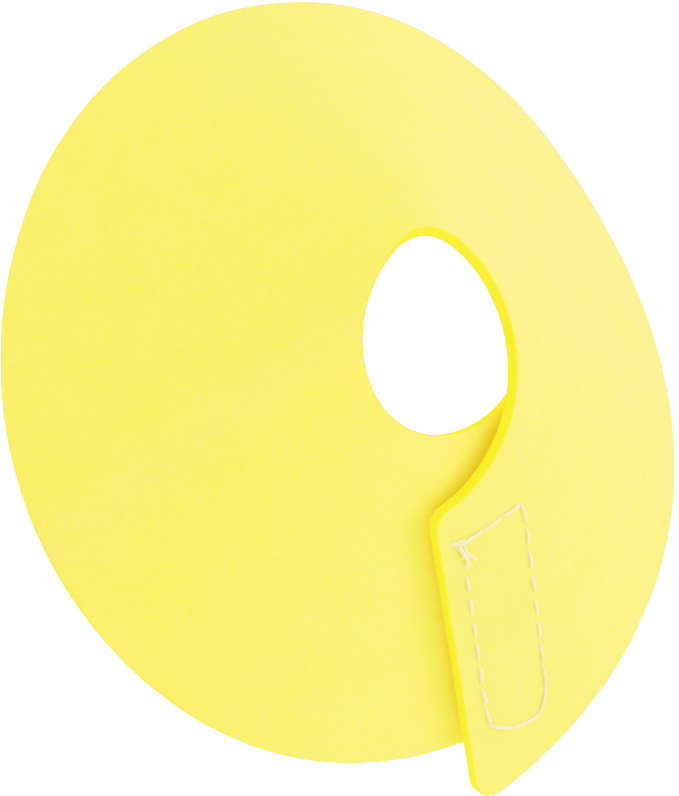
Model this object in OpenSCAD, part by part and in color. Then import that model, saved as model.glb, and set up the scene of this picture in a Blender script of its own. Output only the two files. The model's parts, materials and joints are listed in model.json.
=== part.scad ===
// Foam cone collar: an open ring of thin foam, rolled into a shallow cone and held closed by a sewn
// hook-and-loop patch under the overlapping tab.
//
// The foam is drawn the way it is made. Every outline is first laid out on the flat sheet, with the
// cone's apex at the flat origin, and wrap() then rolls each flat point onto the cone. The cone is
// not quite circular, because a soft sheet holds only roughly round: its slope varies with the turn.

/* [Flat sheet] */
// Radius of the flat disc that the sheet is cut from
sheet_r = 85; // [70:1:100]
// Mean radius of the neck hole in the flat sheet
hole_r = 24.1; // [21:0.1:26]
// Oval part of the neck hole's radius: cosine and sine of twice the angle round its centre
hole_oval = [1.5, 2.4]; // [-3:0.1:3]
// Thickness of the foam
foam_t = 1.8; // [1.5:0.1:2.5]
// Centre of the disc, measured from the apex towards the tab
disc_x = 17.5; // [15:0.1:20]
// Centre of the disc, measured across that
disc_y = -5.7; // [-8:0.1:-4]
// Centre of the neck hole, measured from the apex towards the tab
hole_x = 16.2; // [14:0.1:19]
// Centre of the neck hole, measured across that
hole_y = -8.6; // [-10:0.1:-6]

/* [Rolled cone] */
// Mean angle between the sheet and the cone's axis, in degrees
cone_angle = 49.3; // [46:0.1:54]
// Oval part of the slope: cosine and sine of twice the turn, in degrees
oval = [0.25, -1.55]; // [-3:0.05:3]
// Three-cornered part of the slope: cosine and sine of three times the turn, in degrees
three_corner = [-1.1, 0.3]; // [-1.5:0.05:1.5]
// Four-cornered part of the slope, in degrees
four_corner = [-0.4, 0]; // [-0.6:0.05:0.6]
// Five-cornered part of the slope, in degrees
five_corner = [0, -0.1]; // [-0.5:0.05:0.5]
// Height of the tab's face above the layer below it: one foam thickness and both tapes
lift = 4.1; // [4:0.1:5]
// Turn over which the upper layer comes down to the cone, in degrees
lift_turn = 360; // [180:5:360]

/* [Closing tab] */
// Neck end of the tab's cut edge, measured from the apex towards the tab
cut_x = 41.4; // [40.5:0.1:42]
// Neck end of the tab's cut edge, measured across that
cut_y = -2.9; // [-3.5:0.1:-2.5]
// Flat angle of the cut edge, in degrees
cut_angle = 8; // [4:0.1:10]
// Corner radius at the neck end of a cut edge
inner_corner_r = 3; // [1:0.5:4]
// Corner radius at the rim end of a cut edge
outer_corner_r = 5; // [2:0.5:8]
// Turn at which the tab bends open, in degrees
hinge_turn = 30; // [29:1:33]
// Width of the overlap below the tab, from the cut edge
overlap = 26; // [24:0.5:28]

/* [Tapes] */
// Width of each tape, which is a stock width
tape_w = 16; // [16:1:18]
// Length of each tape
tape_l = 45.5; // [44:0.5:47]
// Neck-side corner of the hook tape, measured along the cut edge
tape_x = 6.6; // [6.2:0.1:7]
// Neck-side corner of the hook tape, measured in from the cut edge
tape_y = 2.6; // [2:0.1:3]
// How much nearer the neck the loop tape is sewn than the hook tape
end_shift = 3.8; // [3:0.1:5]
// Thickness of a tape's woven ground
ground_t = 0.45; // [0.3:0.05:0.5]
// Height of the hooks, or of the loop pile, above the ground
pile_t = 0.45; // [0.3:0.05:0.5]
// Plain selvage around the hooks or loops
selvage = 2.4; // [2.2:0.1:3]
// Length at a tape's rim end that the sewing crosses, where the hooks or loops are shaved off
shaved = 8; // [7:0.5:10]

/* [Sewing] */
// Diameter of the thread
thread_d = 0.4; // [0.3:0.05:0.4]
// Diameter of the thicker thread strands in a back-tack
tack_d = 0.44; // [0.3:0.02:0.5]

/* [Stand] */
// Tilt of the cone's axis when the collar stands on its rim, in degrees
rest_tilt = 10; // [0:0.1:20]
// Direction of that tilt, as a turn, in degrees
rest_tilt_turn = -168.5; // [-180:0.1:180]
// Turn of the whole collar that brings the tab to the front, in degrees
heading = -100; // [-180:1:180]

/* [Hidden] */

foam_colour = "#f8ec62";
tab_colour = "#fbf07c";
hook_colour = "#f2ecae";
loop_colour = "#f4eea0";
thread_colour = "#fdf8ea";

disc = [disc_x, disc_y];
hole = [hole_x, hole_y];
cut_start = [cut_x, cut_y];
tape_start = [tape_x, tape_y];
turn_step = 3;          // turn between neighbouring ribs of the sheet
table_step = 1;         // turn between rows of the unrolling table
first_turn = -8;        // the table's first turn, a little before the cut edge
last_turn = 420;        // the table's last turn, past the lower end of the sheet
hinge_slit = 0.12;      // turn left open between the sheet and the tab at the hinge
corner_ribs = 5;        // ribs round each cut corner
corner_span = 40;       // turn round the hole within which a neck corner ends
tab_ribs = 8;           // ribs across the tab
ring_turn = 364;        // turn at which the ribs begin to swing towards the lower cut edge
end_ribs = 6;           // ribs that swing
foam_stations = [0, 0.2, 0.4, 0.6, 0.8, 1]; // places along a rib of the foam
tape_rows = 8;          // strips along a tape's pile
tape_ribs = 4;          // strips across a tape's pile
step_w = 0.2;           // width of the step from a tape's ground to its pile
thread_gap = 0.02;      // air left between a thread and what it lies on
tack_nesting = 0.6;     // share of a strand's diameter by which the next one lies higher
tape_gap = 0.06;        // air left between a tape and the foam, whose facets differ

// ---- The cone ----

// Each harmonic of the slope: [times per turn, cosine part, sine part]
harmonics = [for (i = [0 : 3]) let (pair = [oval, three_corner, four_corner, five_corner][i])
    [i + 2, pair[0], pair[1]]];

function total(values) = len(values) == 0 ? 0 : values * [for (v = values) 1];

// Angle between the cone's axis and the sheet at a turn, in degrees
function slope(turn) =
    cone_angle + total([for (h = harmonics) h[1] * cos(h[0] * turn) + h[2] * sin(h[0] * turn)]);

// How fast the slope changes with the turn
function slope_rate(turn) =
    total([for (h = harmonics) h[0] * (h[2] * cos(h[0] * turn) - h[1] * sin(h[0] * turn))]) * PI / 180;

// Degrees of flat sheet used by one degree of turn
function unroll_rate(turn) = sqrt(pow(slope_rate(turn), 2) + pow(sin(slope(turn)), 2));

// Rows of [turn, flat angle counted from the table's first turn]
unroll_table = [
    for (
        turn = first_turn, flat = 0;
        turn <= last_turn;
        flat = flat + table_step * (unroll_rate(turn) + unroll_rate(turn + table_step)) / 2,
        turn = turn + table_step
    ) [turn, flat]
];
roll_table = [for (row = unroll_table) [row[1], row[0]]];
flat_zero = lookup(0, unroll_table);

function flat_of(turn) = lookup(turn, unroll_table) - flat_zero;
function turn_of(flat) = lookup(flat + flat_zero, roll_table);

full_flat = flat_of(360);   // flat angle that goes once round the cone

// Direction from the apex along the sheet, and the sheet's outward normal, at a turn
function along(turn) =
    [sin(slope(turn)) * cos(turn), sin(slope(turn)) * sin(turn), -cos(slope(turn))];
function outward(turn) =
    let (
        s = sin(slope(turn)),
        up = [cos(slope(turn)) * cos(turn), cos(slope(turn)) * sin(turn), s],
        side = [-sin(turn), cos(turn), 0],
        n = s * up - slope_rate(turn) * side
    ) n / norm(n);

// Height of the sheet's face above the cone: the tab's height, easing down to 0
function layer_height(turn) =
    let (w = min(max(turn / lift_turn, 0), 1)) lift * (1 - w * w * (3 - 2 * w));

// ---- The stand ----

function about_z(a) = [[cos(a), -sin(a), 0], [sin(a), cos(a), 0], [0, 0, 1]];
function about_y(a) = [[cos(a), 0, sin(a)], [0, 1, 0], [-sin(a), 0, cos(a)]];
stand_turn = about_z(heading) * about_z(rest_tilt_turn) * about_y(rest_tilt) * about_z(-rest_tilt_turn);

function flat_angle(p) = let (a = atan2(p[1], p[0])) a < -20 ? a + 360 : a;

// A flat point p, rolled onto the cone at height h above the sheet's face and turned to its stand
function rolled(p, h) =
    let (turn = turn_of(flat_angle(p)))
    stand_turn * (norm(p) * along(turn) + (layer_height(turn) + h) * outward(turn));

// ---- Outlines on the flat sheet ----

function polar(r, a) = r * [cos(a), sin(a)];
function turned(p, a) = [p[0] * cos(a) - p[1] * sin(a), p[0] * sin(a) + p[1] * cos(a)];

// Radius of the neck hole at an angle round its centre, and how fast it grows with the angle
function oval_radius(a) = hole_r + hole_oval * [cos(2 * a), sin(2 * a)];
function oval_growth(a) = 2 * hole_oval * [-sin(2 * a), cos(2 * a)];

// Angle of a point p round the hole's centre
function round_hole(p) = atan2(p[1] - hole[1], p[0] - hole[0]);

// A point on the hole's edge, and the direction square to the edge and away from the hole
function hole_edge(a) = hole + polar(oval_radius(a), a);
function off_hole(a) = unit(polar(oval_radius(a), a) - polar(oval_growth(a), a + 90));

// Distance from the apex, along a flat angle, to a circle
function reach(centre, r, flat) =
    let (to = centre * polar(1, flat), off = centre * polar(1, flat + 90)) to + sqrt(r * r - off * off);

// The same, to the neck hole's edge: each round takes the hole's radius at the point found before
function reach_hole(flat, r = hole_r, rounds = 6) =
    let (found = reach(hole, r, flat))
    rounds == 0 ? found : reach_hole(flat, oval_radius(round_hole(polar(found, flat))), rounds - 1);

// A rib is [neck end, rim end]. On a turn, it runs straight along the cone.
function rib(turn) =
    let (flat = flat_of(turn))
    [polar(reach_hole(flat), flat), polar(reach(disc, sheet_r, flat), flat)];

function unit(v) = v / norm(v);

// Direction a share t of the way from unit direction a to unit direction b
function swing(a, b, t) =
    let (w = acos(a * b)) (sin((1 - t) * w) * a + sin(t * w) * b) / sin(w);

// Centre of a rim corner's arc: distance r in from a cut line, and as far inside the disc's edge
function rim_centre(start, dir, in, r) =
    let (q = disc - start - r * in, s = q * dir, d = sheet_r - r)
    start + r * in + (s + sqrt(d * d - q * q + s * s)) * dir;

// Centre of an arc that touches the hole's edge at angle a
function neck_centre(a) = hole_edge(a) + inner_corner_r * off_hole(a);

// Angle at which a neck corner's arc leaves the hole, so that it also touches the cut line. It halves
// the span from low to high, which lie on either side of the answer.
function neck_angle(start, in, low, high, rounds = 20) =
    let (middle = (low + high) / 2, short = (neck_centre(middle) - start) * in < inner_corner_r)
    rounds == 0 ? middle
        : neck_angle(start, in, short ? middle : low, short ? high : middle, rounds - 1);

// Ribs from a cut line inwards, to the end of both rounded corners. side is 1 where inwards goes round
// the hole with the turn, and -1 where it goes against it.
function cut_ribs(start, dir, in, side) =
    let (
        from = round_hole(start),
        a = neck_angle(start, in, from, from + side * corner_span),
        neck = neck_centre(a),
        rim = rim_centre(start, dir, in, outer_corner_r)
    ) [
        for (i = [0 : corner_ribs])
        [
            neck + inner_corner_r * swing(-in, -off_hole(a), i / corner_ribs),
            rim + outer_corner_r * swing(-in, unit(rim - disc), i / corner_ribs)
        ]
    ];

// Ribs between ribs a and b, with their ends on the edges of the hole and the disc
function ribs_between(a, b, count) = [
    for (i = [1 : count - 1])
    [
        hole_edge(round_hole(hole + swing(unit(a[0] - hole), unit(b[0] - hole), i / count))),
        disc + sheet_r * swing(unit(a[1] - disc), unit(b[1] - disc), i / count)
    ]
];

cut_dir = polar(1, cut_angle);
cut_in = polar(1, cut_angle + 90);

// A place on the tab: distance along its cut edge and distance in from it
function tab_place(p) = cut_start + p[0] * cut_dir + p[1] * cut_in;

// The same place on the lower layer, whose tape and sewing sit nearer the neck
function end_place(p) = turned(tab_place(p - [end_shift, 0]), full_flat);

function reversed(list) = [for (i = [len(list) - 1 : -1 : 0]) list[i]];

tab_corner = cut_ribs(cut_start, cut_dir, cut_in, 1);
tab_hinge = rib(hinge_turn - hinge_slit);
tab_outline = concat(
    tab_corner,
    ribs_between(tab_corner[corner_ribs], tab_hinge, tab_ribs),
    [tab_hinge]
);

end_corner = cut_ribs(end_place([0, overlap]), turned(cut_dir, full_flat), -turned(cut_in, full_flat), -1);
end_start = rib(ring_turn);
sheet_outline = concat(
    [for (turn = [hinge_turn : turn_step : ring_turn - turn_step / 2]) rib(turn)],
    [end_start],
    ribs_between(end_start, end_corner[corner_ribs], end_ribs),
    reversed(end_corner)
);

// ---- Where it stands ----

edge_points = [
    for (outline = [sheet_outline, tab_outline]) for (r = outline) for (p = r) for (h = [0, -foam_t])
    rolled(p, h)
];
function lowest(axis) = min([for (p = edge_points) p[axis]]);
function highest(axis) = max([for (p = edge_points) p[axis]]);
base = [(lowest(0) + highest(0)) / 2, (lowest(1) + highest(1)) / 2, lowest(2)];

function wrap(p, h) = rolled(p, h) - base;

// ---- Solids ----

// A closed slab over a grid: station j is a share of the way along rib i. Functions low and high give
// the slab's two heights above the sheet's face at rib i and station j.
module slab(ribs, stations, low, high) {
    count = len(ribs);
    line = len(stations);
    function at(level, i, j) = level * count * line + i * line + j;
    function place(i, j) = ribs[i][0] + (ribs[i][1] - ribs[i][0]) * stations[j];
    points = concat(
        [for (i = [0 : count - 1]) for (j = [0 : line - 1]) wrap(place(i, j), low(i, j))],
        [for (i = [0 : count - 1]) for (j = [0 : line - 1]) wrap(place(i, j), high(i, j))]
    );
    faces = concat(
        [for (i = [0 : count - 2]) for (j = [0 : line - 2]) each [
            [at(1, i, j), at(1, i + 1, j), at(1, i + 1, j + 1)],
            [at(1, i, j), at(1, i + 1, j + 1), at(1, i, j + 1)],
            [at(0, i, j), at(0, i + 1, j + 1), at(0, i + 1, j)],
            [at(0, i, j), at(0, i, j + 1), at(0, i + 1, j + 1)]
        ]],
        [for (i = [0 : count - 2]) each [
            [at(0, i, 0), at(0, i + 1, 0), at(1, i + 1, 0)],
            [at(0, i, 0), at(1, i + 1, 0), at(1, i, 0)],
            [at(0, i, line - 1), at(1, i + 1, line - 1), at(0, i + 1, line - 1)],
            [at(0, i, line - 1), at(1, i, line - 1), at(1, i + 1, line - 1)]
        ]],
        [for (j = [0 : line - 2]) each [
            [at(0, 0, j), at(1, 0, j), at(1, 0, j + 1)],
            [at(0, 0, j), at(1, 0, j + 1), at(0, 0, j + 1)],
            [at(0, count - 1, j), at(1, count - 1, j + 1), at(1, count - 1, j)],
            [at(0, count - 1, j), at(0, count - 1, j + 1), at(1, count - 1, j + 1)]
        ]]
    );
    polyhedron(points, faces, convexity = 8);
}

// The foam between its two faces
module foam(outline) {
    slab(outline, foam_stations, function(i, j) -foam_t, function(i, j) 0);
}

// Distances across a tape of size w: its edge, the two sides of the step up to the pile, and even steps
// between them. The pile stops at distance last from the far edge.
function tape_lines(w, steps, last) = concat(
    [0, selvage - step_w],
    [for (i = [0 : steps]) selvage + (w - selvage - last) * i / steps],
    [w - last + step_w, w]
);
tape_across = tape_lines(tape_w, tape_ribs, selvage);
tape_along = tape_lines(tape_l, tape_rows, shaved);

// 1 where a tape carries hooks or loops, and 0 on its selvage
function piled(i, j) = min(i, j, len(tape_across) - 1 - i, len(tape_along) - 1 - j) > 1 ? 1 : 0;

// A tape's ribs, from its edge by the cut to its other edge
tape_ribs_flat = [
    for (across = tape_across)
    [tape_start + [0, across], tape_start + [tape_l, across]]
];
tape_stations = tape_along / tape_l;
function placed_on_tab(ribs) = [for (r = ribs) [tab_place(r[0]), tab_place(r[1])]];
function placed_on_end(ribs) = [for (r = ribs) [end_place(r[0]), end_place(r[1])]];

// A straight strand of thread, a little thinner at its ends
module strand(a, b, d) {
    run = b - a;
    length = norm(run);
    r = d / 2;
    translate(a)
        rotate([0, acos(run[2] / length), atan2(run[1], run[0])])
            rotate_extrude($fn = 16)
                polygon([[0, 0], [0.6 * r, 0], [r, r], [r, length - r], [0.6 * r, length], [0, length]]);
}

// Runs of the seam: [from, to, stitches, share of each stitch that shows], along and in from the cut edge
seam = [
    [[8.2, 4.6], [8.4, 16.5], 3, 0.8],
    [[8.4, 16.6], [13, 17], 1, 0.7],
    [[13, 17], [36.8, 16.7], 5, 0.6],
    [[36.8, 16.7], [46.8, 16.5], 2, 0.9],
    [[46.8, 16.5], [50.9, 14.6], 1, 0.95],
    [[50.9, 14.4], [50.3, 11.4], 1, 0.9],
    [[50.3, 11.4], [49.5, 8.6], 1, 0.9],
    [[49.5, 8.6], [46.2, 4.5], 1, 0.95],
    [[46.2, 4.5], [42, 4.1], 1, 0.7],
    [[42, 4.1], [14, 4.2], 6, 0.6]
];

// Strands of a back-tack: [from, to, layers of thread below it]
back_tack = [
    [[7, 1.8], [8.4, 6.9], 0],
    [[7.1, 4.2], [12.9, 4.4], 1],
    [[9.2, 3.6], [12.8, 6.5], 2],
    [[10.6, 3], [7.4, 5.7], 3]
];

// The seam's stitches. on_end puts them on the lower layer; height is that of the face they lie on,
// and side is 1 on its outer side and -1 on its inner side.
module stitches(on_end, height, side) {
    h = height + side * (thread_d / 2 + thread_gap);
    for (run = seam)
        for (i = [0 : run[2] - 1]) {
            from = run[0] + (run[1] - run[0]) * (i + (1 - run[3]) / 2) / run[2];
            to = run[0] + (run[1] - run[0]) * (i + (1 + run[3]) / 2) / run[2];
            if (on_end)
                strand(wrap(end_place(from), h), wrap(end_place(to), h), thread_d);
            else
                strand(wrap(tab_place(from), h), wrap(tab_place(to), h), thread_d);
        }
}

// The knot of crossing strands over the seam's stitches, where the seam starts and ends
module tack(on_end, height, side) {
    for (s = back_tack) {
        h = height + side * (thread_d + 2 * thread_gap + tack_d / 2 + s[2] * tack_d * tack_nesting);
        if (on_end)
            strand(wrap(end_place(s[0]), h), wrap(end_place(s[1]), h), tack_d);
        else
            strand(wrap(tab_place(s[0]), h), wrap(tab_place(s[1]), h), tack_d);
    }
}

// ---- Nodes ----

// The foam ring, from the bend of the tab round to its lower end
module collar_sheet() {
    color(foam_colour) foam(sheet_outline);
}

// The part of the foam that peels open
module closing_tab() {
    color(tab_colour) foam(tab_outline);
}

// Hook tape, sewn under the tab
module hook_tape() {
    color(hook_colour)
        slab(
            placed_on_tab(tape_ribs_flat), tape_stations,
            function(i, j) -foam_t - tape_gap - ground_t - pile_t * piled(i, j),
            function(i, j) -foam_t - tape_gap
        );
}

// Loop tape, sewn on the outer face of the lower end
module loop_tape() {
    color(loop_colour)
        slab(
            placed_on_end(tape_ribs_flat), tape_stations,
            function(i, j) tape_gap,
            function(i, j) tape_gap + ground_t + pile_t * piled(i, j)
        );
}

// The seam on the tab's outer face
module tab_top_thread() {
    color(thread_colour) stitches(false, 0, 1);
}

// The same seam on the hook tape
module tab_bobbin_thread() {
    color(thread_colour) stitches(false, -foam_t - tape_gap - ground_t, -1);
}

module tab_back_tack() {
    color(thread_colour) tack(false, 0, 1);
}

// The seam on the loop tape
module end_top_thread() {
    color(thread_colour) stitches(true, tape_gap + ground_t, 1);
}

// The same seam on the inner face of the lower end
module end_bobbin_thread() {
    color(thread_colour) stitches(true, -foam_t, -1);
}

module end_back_tack() {
    color(thread_colour) tack(true, -foam_t, -1);
}

collar_sheet();
closing_tab();
hook_tape();
loop_tape();
tab_top_thread();
tab_bobbin_thread();
tab_back_tack();
end_top_thread();
end_bobbin_thread();
end_back_tack();
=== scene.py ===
"""Foam cone collar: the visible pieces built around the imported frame.

The foam, the two tapes and the sewing are laid out on the flat sheet, with the cone's apex at the flat
origin, and wrap() rolls them onto the cone that the CAD part has. Lengths are in metres.
"""

import json
import math

import bpy
import numpy as np
from mathutils import Matrix, Quaternion, Vector


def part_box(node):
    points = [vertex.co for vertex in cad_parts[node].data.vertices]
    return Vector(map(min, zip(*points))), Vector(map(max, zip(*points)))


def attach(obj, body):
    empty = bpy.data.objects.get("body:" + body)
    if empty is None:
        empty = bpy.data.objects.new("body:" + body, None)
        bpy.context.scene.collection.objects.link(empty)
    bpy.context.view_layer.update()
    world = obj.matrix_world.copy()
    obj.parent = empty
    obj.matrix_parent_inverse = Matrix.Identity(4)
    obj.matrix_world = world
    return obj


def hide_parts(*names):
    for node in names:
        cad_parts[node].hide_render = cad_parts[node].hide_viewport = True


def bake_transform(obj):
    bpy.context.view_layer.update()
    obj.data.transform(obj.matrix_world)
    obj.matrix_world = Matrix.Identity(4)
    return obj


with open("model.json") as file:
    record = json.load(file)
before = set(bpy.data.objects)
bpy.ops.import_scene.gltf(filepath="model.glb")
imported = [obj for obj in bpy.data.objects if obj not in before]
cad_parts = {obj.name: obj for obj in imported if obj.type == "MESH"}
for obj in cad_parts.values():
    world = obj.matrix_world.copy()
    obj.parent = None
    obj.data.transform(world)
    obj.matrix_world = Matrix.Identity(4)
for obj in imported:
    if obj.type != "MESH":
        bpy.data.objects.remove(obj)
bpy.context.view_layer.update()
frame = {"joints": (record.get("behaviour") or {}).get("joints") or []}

MM = 0.001

# ---- Driving sizes, the same as the CAD part's ----

SHEET_R = 85 * MM
HOLE_R = 24.1 * MM
HOLE_OVAL = np.array([1.5, 2.4]) * MM
FOAM_T = 1.8 * MM
DISC = np.array([17.5, -5.7]) * MM
HOLE = np.array([16.2, -8.6]) * MM
CONE_ANGLE = 49.3
HARMONICS = [(2, 0.25, -1.55), (3, -1.1, 0.3), (4, -0.4, 0), (5, 0, -0.1)]
LIFT = 4.1 * MM
LIFT_TURN = 360
CUT_START = np.array([41.4, -2.9]) * MM
CUT_ANGLE = 8
INNER_CORNER_R = 3 * MM
OUTER_CORNER_R = 5 * MM
HINGE_TURN = 30
OVERLAP = 26 * MM
TAPE_W = 16 * MM
TAPE_L = 45.5 * MM
TAPE_START = np.array([6.6, 2.6]) * MM
END_SHIFT = np.array([3.8, 0]) * MM
GROUND_T = 0.45 * MM
TAPE_GAP = 0.06 * MM
SELVAGE = 2.4 * MM
SHAVED = 8 * MM
REST_TILT = 10
REST_TILT_TURN = -168.5
HEADING = -100

# Runs of the seam: from, to, stitches, share of a stitch that shows; mm along and in from the cut edge
SEAM = [
    ((8.2, 4.6), (8.4, 16.5), 3, 0.8),
    ((8.4, 16.6), (13, 17), 1, 0.7),
    ((13, 17), (36.8, 16.7), 5, 0.6),
    ((36.8, 16.7), (46.8, 16.5), 2, 0.9),
    ((46.8, 16.5), (50.9, 14.6), 1, 0.95),
    ((50.9, 14.4), (50.3, 11.4), 1, 0.9),
    ((50.3, 11.4), (49.5, 8.6), 1, 0.9),
    ((49.5, 8.6), (46.2, 4.5), 1, 0.95),
    ((46.2, 4.5), (42, 4.1), 1, 0.7),
    ((42, 4.1), (14, 4.2), 6, 0.6),
]

# ---- Sizes that only the looks have ----

SEAM_TURN = 50            # turn where the tab's mesh joins the ring's mesh
BEND_HALF = 7 * MM        # half width of the foam's bend at the hinge
EDGE_R = 0.28 * MM        # rounding of the die-cut edges
THREAD_D = 0.72 * MM
TACK_D = 0.75 * MM
GROOVE_DEPTH = 0.12 * MM
GROOVE_WIDTH = 0.7 * MM
HOLE_DEPTH = 0.3 * MM
NEEDLE_WIDTH = 0.4 * MM
NECK_SLANT = 0.8 * MM     # how far the die-cut neck wall leans back under the ring's upper face
THIN_REACH = 8 * MM       # how far from the joint of its meshes the foam turns translucent
# Slow waves left in the foam: height, length, heading in degrees, phase
WAVES = [(0.035, 31, 20, 0.4), (0.03, 19, 75, 2.1), (0.025, 13, 140, 4.0), (0.02, 9, 110, 1.3)]

RING_TURN = 364           # turn at which the ring's ribs begin to swing towards its cut edge
CORNER_SPAN = 40          # turn round the hole within which a neck corner ends, in degrees
TABLE_STEP = 0.5          # turn between rows of the unrolling table, in degrees
WAVE_FADE = 6 * MM        # distance from the joint of the meshes within which the waves fade out
# Turns between which the neck wall starts to lean back, and stops again, in degrees
SLANT_START = (120, 230)
SLANT_END = (395, 410)
STITCH_SINK = 0.55 * MM   # how far a stitch's ends dive into the foam
STITCH_REACH = 0.25 * MM  # how far they reach past their needle holes
STITCH_CROWN = 0.1 * MM   # height of a stitch's middle over the face it lies on
PLY_PITCH = 1.5 * MM      # length of one twist of the thread
HOOK_R = 0.07 * MM
HOOK_BEND_R = 0.2 * MM
HOOK_STEM = 0.36 * MM
LOOP_R = 0.055 * MM
LOOP_HALF = 0.33 * MM     # half of the distance between a loop's feet
FACE_STATIONS = 72        # rows of the ring's mesh between the neck and the rim
TAB_STATIONS = 160        # the same on the tab, whose sewing needs a finer mesh

FLAT_PLACE = "flat_place" # attribute with each point's place on the flat sheet
CLEAR = "clear"           # attribute with how translucent the foam is at each point


# ---- The cone ----

def slope(turn):
    """Angle between the cone's axis and the sheet, in radians, at a turn in degrees."""
    wave = sum(c * np.cos(np.radians(n * turn)) + s * np.sin(np.radians(n * turn))
               for n, c, s in HARMONICS)
    return np.radians(CONE_ANGLE + wave)


def slope_rate(turn):
    """How fast the slope changes with the turn."""
    wave = sum(n * (s * np.cos(np.radians(n * turn)) - c * np.sin(np.radians(n * turn)))
               for n, c, s in HARMONICS)
    return np.radians(wave)


def unroll_rate(turn):
    """Degrees of flat sheet used by one degree of turn."""
    return np.hypot(slope_rate(turn), np.sin(slope(turn)))


# The unrolling table, from a little before the tab's cut edge to past the lower end
TURNS = np.arange(-8, 420, TABLE_STEP)
RATES = unroll_rate(TURNS)
FLATS = np.concatenate([[0], np.cumsum((RATES[1:] + RATES[:-1]) / 2 * TABLE_STEP)])
FLATS -= np.interp(0, TURNS, FLATS)


def flat_of(turn):
    return np.interp(turn, TURNS, FLATS)


def turn_of(flat):
    return np.interp(flat, FLATS, TURNS)


FULL_FLAT = float(flat_of(360))


def unit(v):
    return v / np.linalg.norm(v, axis=-1, keepdims=True)


def polar(r, degrees):
    a = np.radians(degrees)
    return np.stack([r * np.cos(a), r * np.sin(a)], axis=-1)


def turned(p, degrees):
    c, s = math.cos(math.radians(degrees)), math.sin(math.radians(degrees))
    return np.stack([p[..., 0] * c - p[..., 1] * s, p[..., 0] * s + p[..., 1] * c], axis=-1)


def along(turn):
    """Direction from the apex along the sheet."""
    a, q = slope(turn), np.radians(turn)
    return np.stack([np.sin(a) * np.cos(q), np.sin(a) * np.sin(q), -np.cos(a)], axis=-1)


def outward(turn):
    """The sheet's outward normal."""
    a, q = slope(turn), np.radians(turn)
    up = np.stack([np.cos(a) * np.cos(q), np.cos(a) * np.sin(q), np.sin(a)], axis=-1)
    side = np.stack([-np.sin(q), np.cos(q), 0 * q], axis=-1)
    return unit(np.sin(a)[..., None] * up - slope_rate(turn)[..., None] * side)


def ease(t):
    t = np.clip(t, 0, 1)
    return t * t * (3 - 2 * t)


def layer_height(turn):
    """Height of the sheet's face above the cone, from the tab down to the lower layer."""
    return LIFT * (1 - ease(turn / LIFT_TURN))


def spin(degrees, axis):
    return np.array(Matrix.Rotation(math.radians(degrees), 3, axis))


STAND = spin(HEADING, "Z") @ spin(REST_TILT_TURN, "Z") @ spin(REST_TILT, "Y") @ spin(-REST_TILT_TURN, "Z")


def turn_at(flat_point):
    a = np.degrees(np.arctan2(flat_point[..., 1], flat_point[..., 0]))
    return turn_of(np.where(a < -20, a + 360, a))


def rolled(p, h):
    """Flat points p at height h above the sheet's face, rolled and turned to stand, apex at the origin."""
    turn = turn_at(p)
    r = np.linalg.norm(p, axis=-1)[..., None]
    place = r * along(turn) + (layer_height(turn) + h)[..., None] * outward(turn)
    return place @ STAND.T


# ---- Outlines on the flat sheet ----
# A rib is [neck end, rim end, way in at the neck end, way in at the rim end].

def round_hole(p):
    """Angle of points p round the neck hole's centre, in degrees."""
    return np.degrees(np.arctan2(p[..., 1] - HOLE[1], p[..., 0] - HOLE[0]))


def oval_radius(a):
    """Radius of the neck hole at an angle round its centre."""
    return HOLE_R + polar(1, 2 * a) @ HOLE_OVAL


def hole_edge(a):
    return HOLE + polar(oval_radius(a), a)


def off_hole(a):
    """Direction square to the hole's edge and away from the hole."""
    growth = 2 * polar(1, 2 * a + 90) @ HOLE_OVAL
    return unit(polar(oval_radius(a), a) - polar(growth, a + 90))


def reach(centre, r, flat):
    """Distance from the apex, along a flat angle, to a circle."""
    to = polar(1, flat) @ centre
    off = polar(1, flat + 90) @ centre
    return to + np.sqrt(r * r - off * off)


def reach_hole(flat, rounds=6):
    """The same, to the neck hole: each round takes its radius at the point found before."""
    found = reach(HOLE, HOLE_R, flat)
    for _ in range(rounds):
        found = reach(HOLE, oval_radius(round_hole(polar(found, flat))), flat)
    return found


def on_circles(neck, rim):
    return np.stack([neck, rim, off_hole(round_hole(neck)), unit(DISC - rim)], axis=1)


def ribs_at(turns):
    flat = flat_of(np.asarray(turns, float))
    return on_circles(polar(reach_hole(flat), flat), polar(reach(DISC, SHEET_R, flat), flat))


def swing(a, b, share):
    w = math.acos(a @ b)
    share = share[:, None]
    return (np.sin((1 - share) * w) * a + np.sin(share * w) * b) / math.sin(w)


def rim_centre(start, way, inward, r):
    q = DISC - start - r * inward
    s = q @ way
    return start + r * inward + (s + math.sqrt((SHEET_R - r) ** 2 - q @ q + s * s)) * way


def neck_centre(a):
    return hole_edge(a) + INNER_CORNER_R * off_hole(a)


def neck_angle(start, inward, low, high):
    """Angle at which a neck corner's arc leaves the hole, so that it also touches the cut line."""
    for _ in range(21):
        middle = (low + high) / 2
        if (neck_centre(middle) - start) @ inward < INNER_CORNER_R:
            low = middle
        else:
            high = middle
    return middle


def cut_ribs(start, way, inward, side, count=14):
    """Ribs from a cut line inwards, to the end of both rounded corners. side is 1 where inwards goes round
    the hole with the turn, and -1 where it goes against it."""
    first = round_hole(start)
    a = neck_angle(start, inward, first, first + side * CORNER_SPAN)
    neck = neck_centre(a)
    rim = rim_centre(start, way, inward, OUTER_CORNER_R)
    share = np.linspace(0, 1, count + 1)
    at_neck = swing(-inward, -off_hole(a), share)
    at_rim = swing(-inward, unit(rim - DISC), share)
    neck_ends = neck + INNER_CORNER_R * at_neck
    rim_ends = rim + OUTER_CORNER_R * at_rim
    return np.stack([neck_ends, rim_ends, -at_neck, -at_rim], axis=1)


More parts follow.
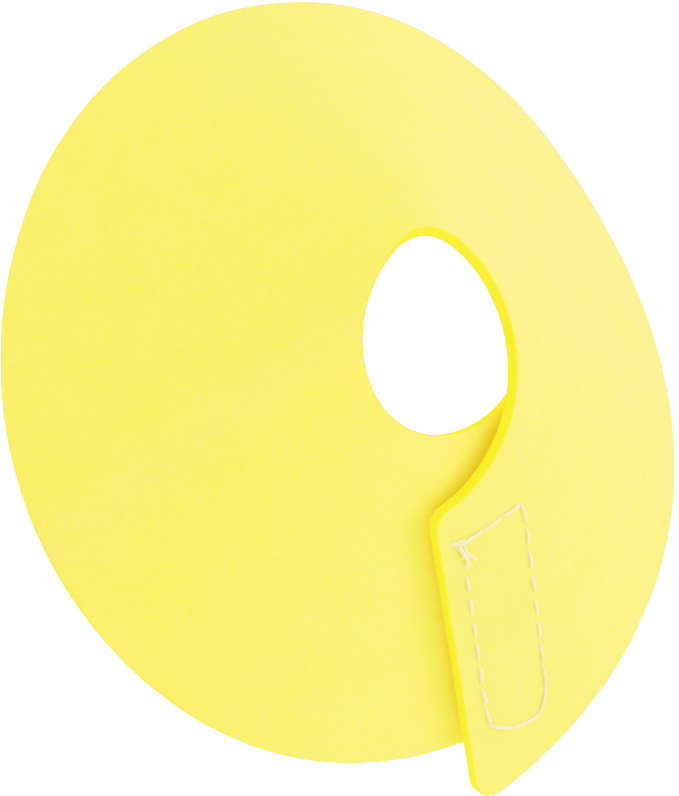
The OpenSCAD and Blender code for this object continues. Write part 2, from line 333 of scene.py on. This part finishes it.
def ribs_between(a, b, count):
    share = np.arange(1, count) / count
    neck = hole_edge(round_hole(HOLE + swing(unit(a[0] - HOLE), unit(b[0] - HOLE), share)))
    rim = DISC + SHEET_R * swing(unit(a[1] - DISC), unit(b[1] - DISC), share)
    return on_circles(neck, rim)


CUT_WAY = polar(1, CUT_ANGLE)
CUT_IN = polar(1, CUT_ANGLE + 90)


def tab_place(p):
    """A place on the tab: distance along its cut edge, and distance in from it."""
    p = np.asarray(p, float)
    return CUT_START + p[..., :1] * CUT_WAY + p[..., 1:2] * CUT_IN


def end_place(p):
    """The same place on the lower layer, whose tape and sewing sit nearer the neck."""
    return turned(tab_place(np.asarray(p, float) - END_SHIFT), FULL_FLAT)


def tab_ribs():
    corner = cut_ribs(CUT_START, CUT_WAY, CUT_IN, 1)
    seam = ribs_at([SEAM_TURN])
    return np.concatenate([corner, ribs_between(corner[-1], seam[0], 90), seam])


def ring_ribs():
    start = end_place([0, OVERLAP])
    corner = cut_ribs(start, turned(CUT_WAY, FULL_FLAT), -turned(CUT_IN, FULL_FLAT), -1)
    even = ribs_at(np.linspace(SEAM_TURN, RING_TURN, 300))
    return np.concatenate([even, ribs_between(even[-1], corner[-1], 16), corner[::-1]])


# The CAD ring starts at the hinge, and its box places everything that is rolled here.
CAD_RING = np.concatenate([ribs_at(np.linspace(HINGE_TURN, SEAM_TURN, 20)), ring_ribs()])


def find_base():
    """The shift from the apex's frame to the part's own, from the CAD ring's box."""
    ends = CAD_RING[:, :2].reshape(-1, 2)
    points = np.concatenate([rolled(ends, 0 * ends[:, 0]), rolled(ends, 0 * ends[:, 0] - FOAM_T)])
    low, high = (np.array(c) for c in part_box("collar_sheet"))
    return (low + high - points.min(0) - points.max(0)) / 2


BASE = find_base()


def wrap(p, h):
    """Flat points p at height h above the sheet's face, in the part's frame."""
    return rolled(p, h + 0 * p[..., 0]) + BASE


def out_at(p):
    return outward(turn_at(p)) @ STAND.T


# ---- Relief of the foam ----

def off_joint(p):
    """Distance of flat points from the line where the tab's mesh joins the ring's."""
    line = polar(1, flat_of(SEAM_TURN))
    return np.abs(p[..., 0] * line[1] - p[..., 1] * line[0])


def waves(p):
    """Slow waves in the foam, which fade out where the tab's mesh joins the ring's."""
    fade = ease(off_joint(p) / WAVE_FADE)
    height = sum(size * MM * np.sin(2 * math.pi * (p @ polar(1, heading)) / (length * MM) + phase)
                 for size, length, heading, phase in WAVES)
    return fade * height


def off_line(p, a, b):
    """Distance of points p from the straight line between a and b."""
    t = np.clip((p - a) @ (b - a) / ((b - a) @ (b - a)), 0, 1)
    return np.linalg.norm(p - a - t[..., None] * (b - a), axis=-1)


def stitch_ends():
    """The two needle holes of every stitch, along and in from the cut edge, and the share that shows."""
    ends = []
    for start, stop, count, shows in SEAM:
        start, stop = np.array(start) * MM, np.array(stop) * MM
        for i in range(count):
            a = start + (stop - start) * (i + (1 - shows) / 2) / count
            b = start + (stop - start) * (i + (1 + shows) / 2) / count
            ends.append((a, b))
    return ends


def sewn_in(p, place):
    """How deep the sewing pulls the foam in, at flat points p. place turns tab distances into flat ones."""
    depth = np.zeros(p.shape[:-1])
    for a, b in stitch_ends():
        a, b = place(a), place(b)
        depth = np.maximum(depth, GROOVE_DEPTH * np.exp(-(off_line(p, a, b) / GROOVE_WIDTH) ** 2))
        for hole in (a, b):
            away = np.linalg.norm(p - hole, axis=-1)
            depth = np.maximum(depth, HOLE_DEPTH * np.exp(-(away / NEEDLE_WIDTH) ** 2))
    return depth


def plain(p):
    return waves(p)


def tab_face(p):
    return waves(p) - sewn_in(p, tab_place)


def end_inside(p):
    return waves(p) + sewn_in(p, end_place)


# ---- Meshes ----

def make_object(name, points, faces, materials, flat=None, slots=None, sharp=None, clear=None):
    mesh = bpy.data.meshes.new(name)
    mesh.from_pydata(points.tolist(), [], faces.tolist() if isinstance(faces, np.ndarray) else faces)
    mesh.polygons.foreach_set("use_smooth", np.ones(len(mesh.polygons), bool))
    if slots is not None:
        mesh.polygons.foreach_set("material_index", np.asarray(slots, np.int32))
    if flat is not None:
        place = mesh.attributes.new(FLAT_PLACE, "FLOAT_VECTOR", "POINT")
        place.data.foreach_set("vector", np.asarray(flat, np.float32).ravel())
    if clear is not None:
        mesh.attributes.new(CLEAR, "FLOAT", "POINT").data.foreach_set("value", clear.astype(np.float32))
    if sharp is not None:
        ends = np.zeros(len(mesh.edges) * 2, np.int32)
        mesh.edges.foreach_get("vertices", ends)
        ends = ends.reshape(-1, 2)
        marks = mesh.attributes.new("sharp_edge", "BOOLEAN", "EDGE")
        marks.data.foreach_set("value", sharp[ends[:, 0]] & sharp[ends[:, 1]])
    mesh.validate()
    mesh.update()
    for material in materials:
        mesh.materials.append(material)
    piece = bpy.data.objects.new(name, mesh)
    bpy.context.scene.collection.objects.link(piece)
    return piece


def edge_profile(thick, r, steps=4):
    """Inset and height down a rounded edge, from the upper face to the lower one."""
    bend = np.radians(np.linspace(0, 90, steps + 1))
    upper = [(r * (1 - math.sin(a)), -r * (1 - math.cos(a))) for a in bend]
    lower = [(inset, -thick - height) for inset, height in reversed(upper)]
    return upper + lower


def border(rows, columns):
    """The grid's border as (row, column) pairs, once round."""
    return ([(i, 0) for i in range(rows)]
            + [(rows - 1, j) for j in range(1, columns)]
            + [(i, columns - 1) for i in range(rows - 2, -1, -1)]
            + [(0, j) for j in range(columns - 2, 0, -1)])


def ribs_inset(ribs, inset, slant=0.0):
    """The ribs' ends moved in from the outline, and the neck ends also out by the slant."""
    return ribs[:, 0] + (inset + slant) * ribs[:, 2], ribs[:, 1] + inset * ribs[:, 3]


def neck_slant(ribs, depth):
    """How far the neck wall has leaned back at a depth below the upper face, for each rib."""
    turn = turn_at(ribs[:, 1])
    starts, stops = (ease((turn - first) / (last - first)) for first, last in (SLANT_START, SLANT_END))
    return (NECK_SLANT * starts * (1 - stops) * depth / FOAM_T)[:, None]


def grid_faces(rows, columns, first, upward):
    i, j = np.meshgrid(np.arange(rows - 1), np.arange(columns - 1), indexing="ij")
    a = (first + i * columns + j).ravel()
    quads = np.stack([a, a + columns, a + columns + 1, a + 1], axis=1)
    return quads if upward else quads[:, ::-1]


def solid_sheet(name, ribs, stations, levels, upper, lower, materials, joined=None, slant=None):
    """A closed sheet over ribs. levels are its edge's insets and heights, upper and lower the relief of
    its faces, joined the rib where it meets another mesh of the same sheet, and slant the lean of its
    neck wall."""
    rows, columns = len(ribs), len(stations)
    loop = np.array(border(rows, columns))
    share = stations[:, None]

    def level_points(inset, height):
        neck, rim = ribs_inset(ribs, inset, 0.0 if slant is None else slant(ribs, -height))
        return neck[:, None] + (rim - neck)[:, None] * share

    grid = level_points(*levels[0])
    flats = [grid.reshape(-1, 2)]
    heights = [(levels[0][1] + upper(grid)).ravel()]
    for inset, height in levels[1:-1]:
        ring = level_points(inset, height)[loop[:, 0], loop[:, 1]]
        flats.append(ring)
        heights.append(height + waves(ring))
    grid = level_points(*levels[-1])
    flats.append(grid.reshape(-1, 2))
    heights.append((levels[-1][1] + lower(grid)).ravel())

    face_size, ring_size = rows * columns, len(loop)
    rings = [loop[:, 0] * columns + loop[:, 1]]
    for k in range(len(levels) - 2):
        rings.append(face_size + k * ring_size + np.arange(ring_size))
    last = face_size + (len(levels) - 2) * ring_size
    rings.append(last + loop[:, 0] * columns + loop[:, 1])
    sides = [np.stack([a, np.roll(a, -1), np.roll(b, -1), b], axis=1) for a, b in zip(rings, rings[1:])]
    top, bottom = grid_faces(rows, columns, 0, True), grid_faces(rows, columns, last, False)
    faces = np.concatenate([top, *[s[:, ::-1] for s in sides], bottom])
    count = len(top)
    slots = np.concatenate([np.zeros(count, int), np.ones(len(faces) - 2 * count, int), np.zeros(count, int)])

    flat, height = np.concatenate(flats), np.concatenate(heights)
    sharp = clear = None
    if joined is not None:
        sharp = np.zeros(len(flat), bool)
        row = joined % rows
        for first in (0, last):
            sharp[first + row * columns: first + (row + 1) * columns] = True
        sharp[np.concatenate([ring[loop[:, 0] == row] for ring in rings])] = True
        clear = ease(off_joint(flat) / THIN_REACH)
    points = wrap(flat, height)
    return make_object(name, points, faces, materials, np.column_stack([flat, height]), slots, sharp, clear)


def tubes(name, paths, radii, sides, materials, ways):
    """One mesh of round strands. ways are directions across each path that its frames start from."""
    points, faces, places, first = [], [], [], 0
    angle = np.arange(sides) * 2 * math.pi / sides
    for path, radius, way in zip(paths, radii, ways):
        forward = unit(np.gradient(path, axis=0))
        across = unit(np.cross(forward, way))
        up = np.cross(across, forward)
        radius = np.broadcast_to(radius, len(path))[:, None, None]
        ring = path[:, None] + radius * (np.cos(angle)[None, :, None] * up[:, None]
                                         + np.sin(angle)[None, :, None] * across[:, None])
        count = len(path)
        points.append(ring.reshape(-1, 3))
        places.append(np.column_stack([np.repeat(np.arange(count) / count, sides), np.tile(angle, count),
                                       np.full(count * sides, first)]))
        i, j = np.meshgrid(np.arange(count - 1), np.arange(sides), indexing="ij")
        a = first + (i * sides + j).ravel()
        b = first + (i * sides + (j + 1) % sides).ravel()
        faces += np.stack([a, b, b + sides, a + sides], axis=1).tolist()
        faces.append([first + j for j in reversed(range(sides))])
        faces.append([first + (count - 1) * sides + j for j in range(sides)])
        first += count * sides
    return make_object(name, np.concatenate(points), faces, materials, np.concatenate(places))


def plies(path, out, d, count=3):
    """The plies of a twisted thread of diameter d along a path."""
    forward = unit(np.gradient(path, axis=0))
    across = unit(np.cross(forward, out))
    up = np.cross(across, forward)
    run = np.concatenate([[0], np.cumsum(np.linalg.norm(np.diff(path, axis=0), axis=1))])
    ply_r = 0.25 * d
    made = []
    for k in range(count):
        a = (2 * math.pi * (run / PLY_PITCH + k / count))[:, None]
        radial = np.cos(a) * up + np.sin(a) * across
        made.append((path + (d / 2 - ply_r) * radial, ply_r, radial))
    return made


# ---- Materials ----

FOAM_DEEP, FOAM_PALE = (0.965, 0.875, 0.105, 1), (0.975, 0.90, 0.19, 1)
# The cut edge's deeper, less blue colour is painted shade: it stands in for the shade and bounced golden
# light on the edge faces.
CUT_SHADE_DEEP, CUT_SHADE_PALE = (0.97, 0.87, 0.022, 1), (0.98, 0.90, 0.038, 1)
THREAD_DARK, THREAD_LIGHT = (0.97, 0.91, 0.46, 1), (0.98, 0.93, 0.66, 1)

def new_material(name, **values):
    """A material with values set on its Principled shader, and a function that adds nodes to it."""
    material = bpy.data.materials.new(name)
    material.use_nodes = True
    tree = material.node_tree
    shader = tree.nodes["Principled BSDF"]
    for key, value in values.items():
        shader.inputs[key.replace("_", " ")].default_value = value

    def add(kind, links=(), **settings):
        node = tree.nodes.new("ShaderNode" + kind)
        for key, value in settings.items():
            if hasattr(node, key):
                setattr(node, key, value)
            else:
                node.inputs[key].default_value = value
        for socket, source in dict(links).items():
            tree.links.new(source, node.inputs[socket])
        return node

    return material, tree, shader, add


def flat_vector(add):
    return add("Attribute", attribute_name=FLAT_PLACE).outputs["Vector"]


def noise(add, vector, size, detail=3.0, rough=0.55):
    """Noise with features of about that size in metres."""
    return add("TexNoise", {"Vector": vector}, Scale=1 / size, Detail=detail, Roughness=rough).outputs["Fac"]


def span(add, value, low, high, to_low, to_high):
    node = add("MapRange", {"Value": value})
    for key, number in zip(("From Min", "From Max", "To Min", "To Max"), (low, high, to_low, to_high)):
        node.inputs[key].default_value = number
    return node.outputs["Result"]


def math_node(add, kind, a, b):
    node = add("Math", operation=kind)
    for socket, value in zip(node.inputs, (a, b)):
        if isinstance(value, (int, float)):
            socket.default_value = value
        else:
            node.id_data.links.new(value, socket)
    return node.outputs["Value"]


def mix_colours(add, factor, a, b):
    node = add("Mix", data_type="RGBA")
    node.inputs[6].default_value = a
    node.inputs[7].default_value = b
    node.id_data.links.new(factor, node.inputs[0])
    return node.outputs[2]


def bump(add, height, distance, under=None, strength=1.0):
    node = add("Bump", {"Height": height}, Strength=strength, Distance=distance)
    if under is not None:
        node.id_data.links.new(under, node.inputs["Normal"])
    return node.outputs["Normal"]


def let_light_through(tree, shader, add):
    """Light that enters thin foam comes out golden. It fades out at the joint of the two meshes, which
    would show as a line otherwise."""
    shader.inputs["Subsurface Radius"].default_value = (1.0, 0.65, 0.12)
    shader.inputs["Subsurface Scale"].default_value = 4 * MM
    clear = add("Attribute", attribute_name=CLEAR).outputs["Fac"]
    tree.links.new(math_node(add, "MULTIPLY", clear, 0.95), shader.inputs["Subsurface Weight"])


def foam_skin():
    """Smooth closed-cell foam with a faint felted mottle."""
    material, tree, shader, add = new_material(
        "foam_skin", Roughness=0.62, Specular_IOR_Level=0.25, Sheen_Weight=0.1, Sheen_Roughness=0.5)
    where = flat_vector(add)
    cloud = noise(add, where, 9 * MM, 4.0)
    mottle = noise(add, where, 1.1 * MM, 3.0, 0.65)
    grain = noise(add, where, 0.35 * MM, 2.0)
    clouds = math_node(add, "MULTIPLY", cloud, 0.3)
    tone = math_node(add, "ADD", clouds, math_node(add, "MULTIPLY", mottle, 0.7))
    colour = mix_colours(add, span(add, tone, 0.33, 0.67, 0, 1), FOAM_DEEP, FOAM_PALE)
    tree.links.new(colour, shader.inputs["Base Color"])
    tree.links.new(span(add, grain, 0.3, 0.7, 0.56, 0.7), shader.inputs["Roughness"])
    soft = bump(add, mottle, 0.09 * MM)
    tree.links.new(bump(add, grain, 0.03 * MM, soft), shader.inputs["Normal"])
    let_light_through(tree, shader, add)
    return material


def foam_cut():
    """The die-cut edge, where the foam's cells are open. Its deeper colour is painted shade: it stands in for
    the shade and bounced golden light on the edge faces.
    """
    material, tree, shader, add = new_material(
        "foam_cut", Roughness=0.8, Specular_IOR_Level=0.15)
    where = flat_vector(add)
    cells = add("TexVoronoi", {"Vector": where}, Scale=1 / (0.22 * MM)).outputs["Distance"]
    patch = noise(add, where, 1.5 * MM)
    colour = mix_colours(add, span(add, patch, 0.35, 0.65, 0, 1), CUT_SHADE_DEEP, CUT_SHADE_PALE)
    tree.links.new(colour, shader.inputs["Base Color"])
    tree.links.new(bump(add, cells, 0.04 * MM), shader.inputs["Normal"])
    let_light_through(tree, shader, add)
    return material


def thread_fibre():
    """Cream polyester thread: each ply is a bundle of fine fibres."""
    material, tree, shader, add = new_material(
        "thread_fibre", Roughness=0.6, Sheen_Weight=0.6, Sheen_Roughness=0.5)
    shader.inputs["Subsurface Weight"].default_value = 0.6
    shader.inputs["Subsurface Scale"].default_value = 0.5 * MM
    where = flat_vector(add)
    streaks = add("TexWave", {"Vector": where}, Scale=2.0, Distortion=3.0, Detail=3.0).outputs["Fac"]
    colour = mix_colours(add, streaks, THREAD_DARK, THREAD_LIGHT)
    tree.links.new(colour, shader.inputs["Base Color"])
    tree.links.new(bump(add, streaks, 0.02 * MM), shader.inputs["Normal"])
    return material


def tape_weave(name, dark, light):
    """A tape's tightly woven nylon ground."""
    material, tree, shader, add = new_material(name, Roughness=0.6, Sheen_Weight=0.2, Sheen_Roughness=0.4)
    where = flat_vector(add)
    warp = add("TexWave", {"Vector": where}, Scale=1 / (1.2 * MM), bands_direction="X").outputs["Fac"]
    weft = add("TexWave", {"Vector": where}, Scale=1 / (1.6 * MM), bands_direction="Y").outputs["Fac"]
    weave = math_node(add, "MAXIMUM", warp, weft)
    colour = mix_colours(add, weave, dark, light)
    tree.links.new(colour, shader.inputs["Base Color"])
    tree.links.new(bump(add, weave, 0.08 * MM), shader.inputs["Normal"])
    return material


def tape_yarn(name, dark, light, rough):
    """The tape's hooks or loops."""
    material, tree, shader, add = new_material(name, Roughness=rough, Sheen_Weight=0.15)
    tint = noise(add, flat_vector(add), 3.0)
    tree.links.new(mix_colours(add, tint, dark, light), shader.inputs["Base Color"])
    return material


# ---- Pieces ----

LEVELS = edge_profile(FOAM_T, EDGE_R)


def make_foam():
    skin, cut = foam_skin(), foam_cut()
    ring = ring_ribs()
    collar = solid_sheet("foam_collar", ring, np.linspace(0, 1, FACE_STATIONS), LEVELS, plain, end_inside,
                         [skin, cut], joined=0, slant=neck_slant)
    tab = tab_ribs()
    flap = solid_sheet("foam_tab", tab, np.linspace(0, 1, TAB_STATIONS), LEVELS, tab_face, plain,
                       [skin, cut], joined=-1)
    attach(collar, "collar")
    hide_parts("collar_sheet")
    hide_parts("closing_tab")
    return collar, flap


def hinge_planes():
    """Points before and after the foam's bend, square to the hinge's line along the sheet."""
    joint = frame["joints"][0]
    pivot, axis = Vector(joint["pos_m"]), Vector(joint["axis"]).normalized()
    out = Vector(out_at(polar(1, flat_of(HINGE_TURN))))
    across = axis.cross(out).normalized()
    if across.dot(Vector(wrap(tab_place([0, 0]), 0)) - pivot) < 0:
        across.negate()
    return pivot - BEND_HALF * across, pivot + BEND_HALF * across


BEND_START, BEND_END = hinge_planes()


def bend_with_tab(*made):
    """Pieces of the tab keep the places they were built at: their transforms are baked into their meshes."""
    for piece in made:
        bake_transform(piece)


def stitch_path(a, b, place, face, side, crown, steps=15):
    """One stitch from needle hole to needle hole, as a line in the part's frame and its outward ways."""
    share = np.linspace(0, 1, steps)
    flat = place(a + (b - a) * share[:, None])
    arch = 1 - np.abs(2 * share - 1) ** 5
    height = face + side * (crown * arch - STITCH_SINK * (1 - arch))
    return wrap(flat, height), side * out_at(flat)


def thread_piece(name, made, material):
    """One piece from plies, each of which is a path, a radius and the ways across it."""
    paths, radii, ways = zip(*made)
    return tubes(name, paths, radii, 7, [material], ways)


def seam_threads(name, place, face, side, material, seed):
    """The seam on one face: twisted stitches that dive into their needle holes."""
    rng = np.random.default_rng(seed)
    made = []
    for a, b in stitch_ends():
        way = (b - a) / np.linalg.norm(b - a)
        aside = np.array([-way[1], way[0]]) * rng.normal(0, 0.05 * MM)
        start, stop = a - STITCH_REACH * way + aside, b + STITCH_REACH * way - aside
        path, out = stitch_path(start, stop, place, face, side, STITCH_CROWN)
        made += plies(path, out, THREAD_D * rng.uniform(0.92, 1.08))
    return thread_piece(name, made, material)


# Strands of the back-tack: from, to, height over the face in thread diameters
TACK = [
    ((7.1, 1.8), (7.9, 5.2), 0.3), ((7.9, 2.6), (8.2, 6.4), 0.7), ((7.5, 4.4), (13.6, 4.6), 0.8),
    ((8.4, 3.3), (11.6, 4.9), 1.1), ((9.2, 4.0), (12.9, 6.4), 1.3), ((7.6, 3.4), (11.0, 4.1), 1.6),
]


def tack_threads(name, place, face, side, material, seed):
    """The knot of crossing strands where the seam starts and ends."""
    rng = np.random.default_rng(seed)
    made = []
    for a, b, high in TACK:
        a, b = np.array(a) * MM, np.array(b) * MM
        path, out = stitch_path(a, b, place, face, side, high * TACK_D * 0.5)
        made += plies(path, out, TACK_D * rng.uniform(0.95, 1.1))
    return thread_piece(name, made, material)


def make_sewing():
    fibre = thread_fibre()
    top = seam_threads("tab_stitches", tab_place, 0, 1, fibre, 1)
    under = seam_threads("tab_bobbin_stitches", tab_place, -FOAM_T - TAPE_GAP - GROUND_T, -1, fibre, 2)
    knot = tack_threads("tab_tack_knot", tab_place, 0, 1, fibre, 3)
    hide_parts("tab_top_thread")
    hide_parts("tab_bobbin_thread")
    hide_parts("tab_back_tack")
    bend_with_tab(top, under, knot)
    end_top = seam_threads("end_stitches", end_place, TAPE_GAP + GROUND_T, 1, fibre, 4)
    end_under = seam_threads("end_bobbin_stitches", end_place, -FOAM_T, -1, fibre, 5)
    end_knot = tack_threads("end_tack_knot", end_place, -FOAM_T, -1, fibre, 6)
    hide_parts("end_top_thread")
    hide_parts("end_bobbin_thread")
    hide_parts("end_back_tack")
    for piece in (end_top, end_under, end_knot):
        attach(piece, "collar")


def tape_ribs(place, count):
    """The tape's ribs, from its edge by the cut to its other edge."""
    across = np.linspace(0, TAPE_W, count)
    near = TAPE_START + np.column_stack([0 * across, across])
    far = near + [TAPE_L, 0]
    way_in = unit(place(near + [MM, 0]) - place(near))
    return np.stack([place(near), place(far), way_in, -way_in], axis=1)


def make_tape(name, place, top, material):
    """A tape's woven ground, whose upper face is at height top."""
    levels = [(inset, top + height) for inset, height in edge_profile(GROUND_T, 0.12 * MM, 2)]
    stations = np.linspace(0, 1, 120)
    return solid_sheet(name, tape_ribs(place, 40), stations, levels, waves, waves, [material] * 2)


def pile_grid(pitch_along, pitch_across, rng, jitter):
    """Places of hooks or loops inside the tape's selvage, along and in from the cut edge."""
    a = np.arange(SELVAGE, TAPE_L - SHAVED, pitch_along)
    b = np.arange(SELVAGE, TAPE_W - SELVAGE, pitch_across)
    a, b = np.meshgrid(a, b, indexing="ij")
    spots = np.column_stack([a.ravel(), b.ravel()]) + TAPE_START
    return spots + rng.normal(0, jitter, spots.shape)


def make_hooks(material):
    """Rows of bent monofilament hooks under the tab, facing left and right in turn."""
    rng = np.random.default_rng(7)
    bend = np.radians(np.linspace(180, -40, 8))
    stem = np.array([[-HOOK_BEND_R, 0], [-HOOK_BEND_R, 0.2 * MM]])
    crook = HOOK_BEND_R * np.column_stack([np.cos(bend), np.sin(bend)]) + [0, HOOK_STEM]
    shape = np.concatenate([stem, crook])
    paths, ways = [], []
    for k, spot in enumerate(pile_grid(1.4 * MM, 1.0 * MM, rng, 0.05 * MM)):
        facing = (1 if k % 2 else -1) * polar(1, rng.normal(90, 8))
        flat = tab_place(spot + shape[:, :1] * facing)
        paths.append(wrap(flat, -FOAM_T - TAPE_GAP - GROUND_T - shape[:, 1]))
        ways.append(np.cross(out_at(flat), unit(np.gradient(paths[-1], axis=0))) + 1e-9)
    return tubes("hook_tape_hooks", paths, [HOOK_R] * len(paths), 5, [material], ways)


def make_loops(material):
    """The loop pile: small arches of yarn that lean every way."""
    rng = np.random.default_rng(8)
    paths, ways = [], []
    bend = np.radians(np.linspace(200, -20, 9))
    for spot in pile_grid(0.95 * MM, 0.8 * MM, rng, 0.18 * MM):
        way = polar(1, rng.uniform(0, 360))
        lean = rng.normal(0, 0.15 * MM, 2)
        high = rng.uniform(0.22, 0.34) * MM
        rise = high * (1 + np.sin(bend))
        flat = end_place(spot + LOOP_HALF * np.cos(bend)[:, None] * way + rise[:, None] / (2 * high) * lean)
        paths.append(wrap(flat, TAPE_GAP + GROUND_T + rise))
        ways.append(np.cross(out_at(flat), unit(np.gradient(paths[-1], axis=0))) + 1e-9)
    return tubes("loop_tape_pile", paths, [LOOP_R] * len(paths), 4, [material], ways)


def make_tapes():
    hook_yellow = tape_weave("hook_tape_weave", (0.80, 0.74, 0.22, 1), (0.90, 0.84, 0.34, 1))
    loop_yellow = tape_weave("loop_tape_weave", (0.80, 0.74, 0.20, 1), (0.90, 0.84, 0.30, 1))
    hook_ground = make_tape("hook_tape_ground", tab_place, -FOAM_T - TAPE_GAP, hook_yellow)
    hooks = make_hooks(tape_yarn("hook_yarn", (0.88, 0.84, 0.44, 1), (0.94, 0.90, 0.54, 1), 0.35))
    loop_ground = make_tape("loop_tape_ground", end_place, TAPE_GAP + GROUND_T, loop_yellow)
    loops = make_loops(tape_yarn("loop_yarn", (0.86, 0.80, 0.28, 1), (0.94, 0.88, 0.40, 1), 0.6))
    for piece, node in ((hook_ground, "hook_tape"), (loop_ground, "loop_tape")):
        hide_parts(node)
    for piece in (loop_ground, loops):
        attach(piece, "collar")
    bend_with_tab(hook_ground, hooks)


# ---- Stage ----

VIEW_AZIMUTH = -107.14
VIEW_ELEVATION = 60.34
VIEW_ROLL = 77.84
VIEW_DISTANCE = 530.4 * MM
VIEW_AIM = Vector((-9.45, 5.55, 18.93)) * MM
LENS = 155.6
TENT_R = 3.0

# Light level and the level shown, for red, green and blue, up to TONE_WHITE, which shows as white
TONE_WHITE = 3.0
TONES = [
    [(0.1, 0.17), (0.2, 0.33), (0.35, 0.58), (0.5, 0.77), (0.65, 0.87), (0.8, 0.91), (1.0, 0.945),
     (1.2, 0.968), (1.8, 0.99)],
    [(0.1, 0.12), (0.2, 0.26), (0.35, 0.47), (0.5, 0.63), (0.65, 0.75), (0.8, 0.82), (1.0, 0.872),
     (1.3, 0.893), (1.8, 0.918), (2.4, 0.97)],
    [(0.25, 0.25), (0.5, 0.5), (0.8, 0.78), (1.0, 0.90), (1.5, 0.96), (2.2, 0.985)],
]


def back_way(azimuth, elevation):
    a, e = math.radians(azimuth), math.radians(elevation)
    return Vector((math.sin(a) * math.cos(e), -math.cos(a) * math.cos(e), math.sin(e)))


def add_camera():
    camera = bpy.data.objects.new("camera", bpy.data.cameras.new("camera"))
    bpy.context.scene.collection.objects.link(camera)
    back = back_way(VIEW_AZIMUTH, VIEW_ELEVATION)
    camera.location = VIEW_AIM + back * VIEW_DISTANCE
    camera.rotation_mode = "QUATERNION"
    roll = Quaternion((0, 0, 1), math.radians(VIEW_ROLL))
    camera.rotation_quaternion = (-back).to_track_quat("-Z", "Y") @ roll
    camera.data.lens = LENS
    camera.data.sensor_width = 36
    camera.data.clip_start = 0.01
    bpy.context.scene.camera = camera
    return camera


def add_backdrop(name, points, faces):
    """Glowing white that only the camera sees: the world lights the collar in its stead."""
    white = (0.85, 0.85, 0.85, 1)
    material, _, shader, _ = new_material(name + "_white", Base_Color=white, Roughness=0.9)
    shader.inputs["Emission Color"].default_value = (1, 1, 1, 1)
    shader.inputs["Emission Strength"].default_value = TONE_WHITE
    piece = make_object(name, points, faces, [material])
    for ray in ("diffuse", "glossy", "transmission", "shadow"):
        setattr(piece, "visible_" + ray, False)


def add_tent():
    """A white floor, and a white dome that stands on it."""
    around, rows = 48, 12
    turn, rise = np.meshgrid(np.arange(around) * 2 * math.pi / around,
                             np.linspace(0, math.pi / 2, rows, endpoint=False))
    ways = np.stack([np.cos(rise) * np.cos(turn), np.cos(rise) * np.sin(turn), np.sin(rise)], axis=-1)
    dome = TENT_R * ways.reshape(-1, 3)
    nearby = [(j, (j + 1) % around) for j in range(around)]
    faces = [[i * around + j, i * around + k, (i + 1) * around + k, (i + 1) * around + j]
             for i in range(rows - 1) for j, k in nearby]
    faces += [[(rows - 1) * around + j, (rows - 1) * around + k, len(dome)] for j, k in nearby]
    add_backdrop("floor", dome[:around], [list(range(around))])
    add_backdrop("dome", np.vstack([dome, [0, 0, TENT_R]]), faces)


def add_light(name, way, distance, size, power, colour):
    light = bpy.data.lights.new(name, "AREA")
    light.shape = "DISK"
    light.size = size
    light.energy = power
    light.color = colour
    lamp = bpy.data.objects.new(name, light)
    bpy.context.scene.collection.objects.link(lamp)
    lamp.location = Vector(way).normalized() * distance
    lamp.rotation_mode = "QUATERNION"
    lamp.rotation_quaternion = (-lamp.location).to_track_quat("-Z", "Y")


def add_lights():
    world = bpy.data.worlds.new("studio")
    world.use_nodes = True
    world.node_tree.nodes["Background"].inputs["Color"].default_value = (1, 1, 1, 1)
    world.node_tree.nodes["Background"].inputs["Strength"].default_value = 1.02
    bpy.context.scene.world = world
    add_light("key", (0.66, -0.30, 0.75), 1.2, 0.7, 6, (1, 1, 1))


def soften_tones():
    """An overexposed photograph's response: the strong channels flatten out early."""
    settings = bpy.context.scene.view_settings
    settings.view_transform = "Standard"
    settings.use_curve_mapping = True
    curves = settings.curve_mapping
    curves.white_level = (TONE_WHITE,) * 3
    for curve, points in zip(curves.curves, TONES):
        for level, shown in points:
            curve.points.new(level / TONE_WHITE, shown)
        curve.points[0].location = (0, 0)
        curve.points[-1].location = (1, 1)
    curves.update()


add_camera()
add_tent()
add_lights()
soften_tones()

foam_ring, foam_flap = make_foam()
make_sewing()
make_tapes()
bend_with_tab(foam_flap)
